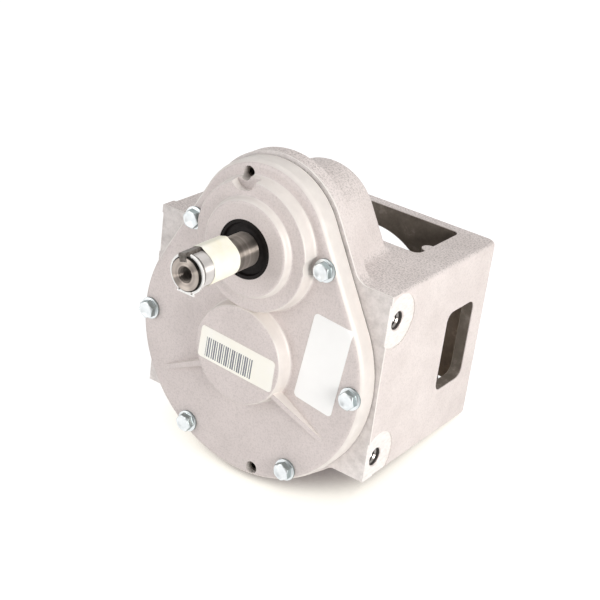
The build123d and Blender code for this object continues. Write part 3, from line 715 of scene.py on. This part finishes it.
# Seals: moulded black rubber, matt and slightly uneven.
rubber, rubber_tree, rubber_shader = plain_finish(
    "seal_rubber", 0.0, 0.5, 500.0, (0.006, 0.005, 0.0045), (0.016, 0.012, 0.011)
)[:3]
rubber_shader.inputs["Specular IOR Level"].default_value = 0.15
add_bump(rubber_tree, rubber_shader, [(add_noise(rubber_tree, 1500.0), 0.02 * mm)])
for part in ("input_seal", "output_seal"):
    paint(part, rubber)


# Tape: cream masking tape wound three times round the shaft and over the key, so that neither is lost in
# shipping. It is one long strip, and each turn lies a little to the side of the one below.
tape, tape_tree, tape_shader = plain_finish(
    "masking_tape", 0.0, 0.62, 90.0, (0.93, 0.9, 0.75), (0.97, 0.955, 0.87)
)[:3]
tape_shader.inputs["Specular IOR Level"].default_value = 0.25
tape_crepe = tape_tree.nodes.new("ShaderNodeMapping")
tape_crepe.inputs["Scale"].default_value = (1, 0.12, 1)
tape_spot = tape_tree.nodes.new("ShaderNodeTexCoord")
tape_tree.links.new(tape_spot.outputs["Object"], tape_crepe.inputs["Vector"])
crepe_grain = add_noise(tape_tree, 1600.0, 2.0, 0.5, tape_crepe.outputs[0])
add_bump(tape_tree, tape_shader, [(crepe_grain, 0.03 * mm)])
tape_turns = 3
tape_steps = 96
tape_rows = 10
tape_start = math.radians(250)
tape_step_out = 0.11 * mm
tape_thickness = 0.07 * mm
tape_bore = 10.06 * mm
tape_low, tape_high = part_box("key_tape")
drift_room = 0.9 * mm
tape_width = tape_high.y - tape_low.y - drift_room
tape_middle = (tape_low.y + tape_high.y) / 2
drift = 0.32 * mm
drift_rate = 2.3
ripple_depth = 0.05 * mm
ripple_waves = 7
ripple_slant = 9
ripple_at_middle = 0.3
ripple_growth = 1.4
key_turn = math.radians(106)
key_corner = Vector((11.86, 2.55)) * mm
corner_turn = math.atan2(key_corner.y, key_corner.x)
touch_turn = corner_turn + math.acos(tape_bore / key_corner.length)
bpy.ops.mesh.primitive_grid_add(x_subdivisions=tape_turns * tape_steps, y_subdivisions=tape_rows, size=1)
strip = bpy.context.object
strip.name = "wound_tape"
for vertex in strip.data.vertices:
    across = vertex.co.y
    wound = (vertex.co.x + 0.5) * tape_turns
    turn = tape_start + wound * 2 * math.pi
    from_key = abs((turn - key_turn + math.pi) % (2 * math.pi) - math.pi)
    if from_key < corner_turn:
        reach = key_corner.x / math.cos(from_key)
    elif from_key < touch_turn:
        reach = tape_bore / math.cos(touch_turn - from_key)
    else:
        reach = tape_bore
    reach += wound * tape_step_out
    if wound > tape_turns - 1:
        ripple_share = ripple_at_middle + ripple_growth * abs(across)
        reach += ripple_depth * math.sin(turn * ripple_waves + across * ripple_slant) * ripple_share
    along = tape_middle + drift * math.sin(wound * drift_rate) + across * tape_width
    vertex.co = (reach * math.cos(turn), along, input_z + reach * math.sin(turn))
bpy.ops.object.mode_set(mode="EDIT")
bpy.ops.mesh.select_all(action="SELECT")
bpy.ops.mesh.normals_make_consistent(inside=False)
bpy.ops.mesh.select_all(action="DESELECT")
bpy.ops.object.mode_set(mode="OBJECT")
backing = strip.modifiers.new("backing", "SOLIDIFY")
backing.thickness = tape_thickness
backing.offset = 0.0
bpy.ops.object.modifier_apply(modifier="backing")
bpy.ops.object.shade_smooth_by_angle(angle=soft_angle)
strip.data.materials.append(tape)
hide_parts("key_tape")
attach(strip, "input")
strip.select_set(False)


# Two stick-on paper labels, left without words: a white one on the cover's flat that laps over its rim,
# and a cream one on the lower boss with plain stripes where such labels carry print. Their corners run
# round from the upper left, in millimetres.
head_height = 5.6 * mm
boss_height = 9.5 * mm
cover_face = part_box("cover_screws")[0].y + head_height
boss_face = cover_face - boss_height
label_start = 2 * mm
label_reach = 9 * mm
paper_thickness = 0.1 * mm
paper_gap = 0.1 * mm
flank_lean = math.radians(28.55)
flank_reach = 80.29 * mm
flank_way = Vector((math.cos(flank_lean), 0, math.sin(flank_lean)))


def add_label(name, corners, front, rounding, cuts, finish):
    bpy.ops.mesh.primitive_plane_add(size=1)
    label = bpy.context.object
    label.name = name
    high_left, high_right, low_right, low_left = corners
    for vertex in label.data.vertices:
        if vertex.co.y < 0:
            x, z = low_left if vertex.co.x < 0 else low_right
        else:
            x, z = high_left if vertex.co.x < 0 else high_right
        vertex.co = (x * mm, front, z * mm)
    bpy.ops.object.mode_set(mode="EDIT")
    bpy.ops.mesh.select_all(action="SELECT")
    bpy.ops.mesh.bevel(offset=rounding, segments=6, affect="VERTICES")
    for cut in cuts:
        bpy.ops.mesh.select_all(action="SELECT")
        bpy.ops.mesh.bisect(plane_co=flank_way * (flank_reach - cut), plane_no=flank_way)
    bpy.ops.mesh.select_all(action="DESELECT")
    bpy.ops.object.mode_set(mode="OBJECT")
    pressed = label.modifiers.new("pressed", "SHRINKWRAP")
    pressed.target = nodes["cover"]
    pressed.wrap_method = "PROJECT"
    pressed.use_project_x = False
    pressed.use_project_y = True
    pressed.use_project_z = False
    pressed.use_positive_direction = True
    pressed.use_negative_direction = False
    pressed.project_limit = label_reach
    pressed.offset = paper_gap
    bpy.ops.object.modifier_apply(modifier="pressed")
    paper = label.modifiers.new("paper", "SOLIDIFY")
    paper.thickness = paper_thickness
    paper.offset = 0.0
    bpy.ops.object.modifier_apply(modifier="paper")
    bpy.ops.object.shade_smooth_by_angle(angle=soft_angle)
    label.data.materials.append(finish)
    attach(label, "case")
    label.select_set(False)


white_paper, white_tree, white_shader = plain_finish(
    "white_label_paper", 0.0, 0.45, 60.0, (0.97, 0.97, 0.97), (1.0, 1.0, 1.0)
)[:3]
add_bump(white_tree, white_shader, [(add_noise(white_tree, 700.0), 0.01 * mm)])
white_corners = ((43.3, 43.0), (69.3, 40.6), (62.5, -16.5), (36.0, -12.8))
white_rounding = 2.6 * mm
fold_spacing = 0.55 * mm
fold_count = 8
folds = [(step + 1) * fold_spacing for step in range(fold_count)]
add_label("white_label", white_corners, cover_face - label_start, white_rounding, folds, white_paper)

cream_paper, cream_tree, cream_shader, cream_tone = plain_finish(
    "cream_label_paper", 0.0, 0.5, 60.0, (0.99, 0.965, 0.88), (1.0, 0.985, 0.93)
)
cream_x, cream_z = add_axes(cream_tree)[::2]
cream_turn = math.radians(-3.2)
along_print = add_math(
    cream_tree, "ADD",
    add_math(cream_tree, "MULTIPLY", cream_x, math.cos(cream_turn)),
    add_math(cream_tree, "MULTIPLY", cream_z, math.sin(cream_turn)),
)
up_print = add_math(
    cream_tree, "SUBTRACT",
    add_math(cream_tree, "MULTIPLY", cream_z, math.cos(cream_turn)),
    add_math(cream_tree, "MULTIPLY", cream_x, math.sin(cream_turn)),
)
stripe_half_pitch = 0.8 * mm
stripe_least = 0.24 * mm
stripe_growth = 0.17
stripe_group_half = 2.3 * mm
stripe_group = add_math(cream_tree, "PINGPONG", along_print, stripe_group_half)
stripe_width = add_math(cream_tree, "MULTIPLY_ADD", stripe_group, stripe_growth, stripe_least)
from_stripe = add_math(cream_tree, "PINGPONG", along_print, stripe_half_pitch)
stripe = add_math(cream_tree, "LESS_THAN", from_stripe, stripe_width)
print_middle = -5.4 * mm
print_half_length = 17.0 * mm
print_level = -2.6 * mm
print_half_height = 6.4 * mm
print_field = add_math(
    cream_tree, "MULTIPLY",
    add_math(cream_tree, "COMPARE", along_print, print_middle, print_half_length),
    add_math(cream_tree, "COMPARE", up_print, print_level, print_half_height),
)
printed = add_math(cream_tree, "MULTIPLY", stripe, print_field)
cream_tree.links.new(
    add_mix(cream_tree, printed, cream_tone, (0.2, 0.21, 0.25)), cream_shader.inputs["Base Color"]
)
cream_corners = ((-26.6, 11.5), (27.3, 7.9), (26.5, -12.3), (-28.0, -9.2))
cream_rounding = 2.2 * mm
add_label("cream_label", cream_corners, boss_face - label_start, cream_rounding, [], cream_paper)


# Gasket: dark fibre sheet, seen only as the thin line between the cover and the housing.
paint("gasket", plain_finish("gasket_fibre", 0.0, 0.85, 800.0, (0.1, 0.09, 0.08), (0.2, 0.18, 0.16))[0])


# Bearings: polished rings and balls, brass cages.
brass = plain_finish("cage_brass", 1.0, 0.35, 400.0, (0.5, 0.36, 0.14), (0.64, 0.48, 0.2))[0]
bearing_steel = plain_finish("bearing_steel", 1.0, 0.12, 600.0, (0.62, 0.62, 0.63), (0.7, 0.7, 0.71))[0]
for part in nodes:
    if "_bearing_" in part:
        paint(part, brass if part.endswith("cage") else bearing_steel)
